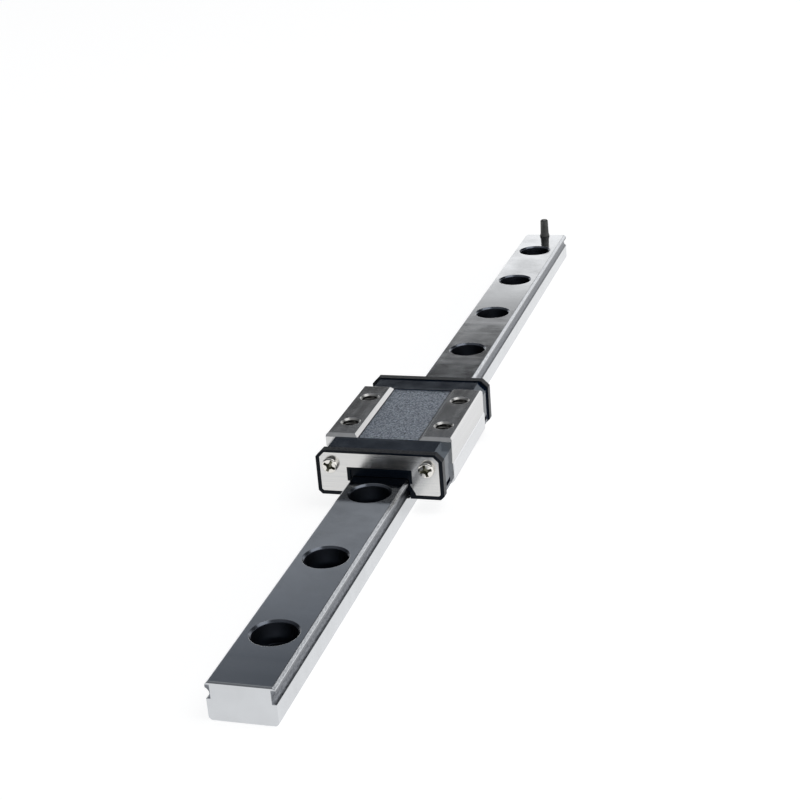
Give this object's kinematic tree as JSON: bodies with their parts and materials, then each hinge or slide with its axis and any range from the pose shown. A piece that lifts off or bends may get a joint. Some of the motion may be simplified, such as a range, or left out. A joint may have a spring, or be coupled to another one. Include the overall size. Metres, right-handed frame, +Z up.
{
  "type": "linear guide carriage",
  "caption": "Miniature linear guide carriage with recirculating balls on a short profile rail with a stop pin; tapped top holes take the moving load.",
  "frame": {"origin": "middle of the rail's underside", "axes": "+X along the rail away from the end that the carriage stands nearer to, +Z up from the rail's underside to the carriage's top"},
  "size_m": [0.184, 0.0204, 0.01],
  "materials": {
    "rail_steel": "ground",
    "block_steel": "ground lands, blasted recess",
    "black_pin": "satin black",
    "cap_plastic": "satin moulded, blue-black",
    "inner_plastic": "satin moulded, black",
    "guide_plastic": "satin moulded",
    "seal_rubber": "matte black",
    "cover_steel": "satin rolled sheet",
    "screw_nickel": "bright nickel",
    "wire_steel": "bright drawn wire",
    "ball_steel": "polished"
  },
  "bodies": {
    "rail": {"rail": "rail_steel", "stop_pin": "black_pin"},
    "carriage": {"block": "block_steel", "inner_plate_front": "inner_plastic", "inner_plate_rear": "inner_plastic", "end_cap_front": "cap_plastic", "end_cap_rear": "cap_plastic", "turn_guide_front_left": "guide_plastic", "turn_guide_front_right": "guide_plastic", "turn_guide_rear_left": "guide_plastic", "turn_guide_rear_right": "guide_plastic", "end_seal_front": "seal_rubber", "end_seal_rear": "seal_rubber", "cover_plate_front": "cover_steel", "cover_plate_rear": "cover_steel", "end_screw_front_left": "screw_nickel", "end_screw_front_right": "screw_nickel", "end_screw_rear_left": "screw_nickel", "end_screw_rear_right": "screw_nickel", "retainer_wire_left": "wire_steel", "retainer_wire_right": "wire_steel"},
    "load_balls_left": {"load_balls_left": "ball_steel"},
    "load_balls_right": {"load_balls_right": "ball_steel"},
    "return_balls_left": {"return_balls_left": "ball_steel"},
    "return_balls_right": {"return_balls_right": "ball_steel"},
    "turn_balls_front_left": {"turn_balls_front_left": "ball_steel"},
    "turn_balls_front_right": {"turn_balls_front_right": "ball_steel"},
    "turn_balls_rear_left": {"turn_balls_rear_left": "ball_steel"},
    "turn_balls_rear_right": {"turn_balls_rear_right": "ball_steel"}
  },
  "joints": [
    {"name": "carriage_slide", "type": "slide", "parent": "rail", "child": "carriage", "axis": [1, 0, 0], "range_m": [-0.057, 0.094]},
    {"name": "load_row_left", "type": "slide", "parent": "carriage", "child": "load_balls_left", "axis": [1, 0, 0], "range_m": [-0.00081, 0.00081]},
    {"name": "load_row_right", "type": "slide", "parent": "carriage", "child": "load_balls_right", "axis": [1, 0, 0], "range_m": [-0.00081, 0.00081]},
    {"name": "return_row_left", "type": "slide", "parent": "carriage", "child": "return_balls_left", "axis": [1, 0, 0], "range_m": [-0.00081, 0.00081]},
    {"name": "return_row_right", "type": "slide", "parent": "carriage", "child": "return_balls_right", "axis": [1, 0, 0], "range_m": [-0.00081, 0.00081]},
    {"name": "turn_front_left", "type": "hinge", "parent": "carriage", "child": "turn_balls_front_left", "pos_m": [-0.02922, 0.00643, 0.0039], "axis": [0, 0, 1], "range_deg": [-30.01, 30.01]},
    {"name": "turn_front_right", "type": "hinge", "parent": "carriage", "child": "turn_balls_front_right", "pos_m": [-0.02922, -0.00643, 0.0039], "axis": [0, 0, 1], "range_deg": [-30.01, 30.01]},
    {"name": "turn_rear_left", "type": "hinge", "parent": "carriage", "child": "turn_balls_rear_left", "pos_m": [-0.00978, 0.00643, 0.0039], "axis": [0, 0, 1], "range_deg": [-30.01, 30.01]},
    {"name": "turn_rear_right", "type": "hinge", "parent": "carriage", "child": "turn_balls_rear_right", "pos_m": [-0.00978, -0.00643, 0.0039], "axis": [0, 0, 1], "range_deg": [-30.01, 30.01]}
  ],
  "couplings": [
    {"joint": "load_row_right", "follows": "load_row_left", "ratio": 1},
    {"joint": "return_row_left", "follows": "load_row_left", "ratio": -1},
    {"joint": "return_row_right", "follows": "load_row_left", "ratio": -1},
    {"joint": "turn_front_left", "follows": "load_row_left", "rad_per_m": 646.42},
    {"joint": "turn_front_right", "follows": "load_row_left", "rad_per_m": -646.42},
    {"joint": "turn_rear_left", "follows": "load_row_left", "rad_per_m": 646.42},
    {"joint": "turn_rear_right", "follows": "load_row_left", "rad_per_m": -646.42}
  ]
}
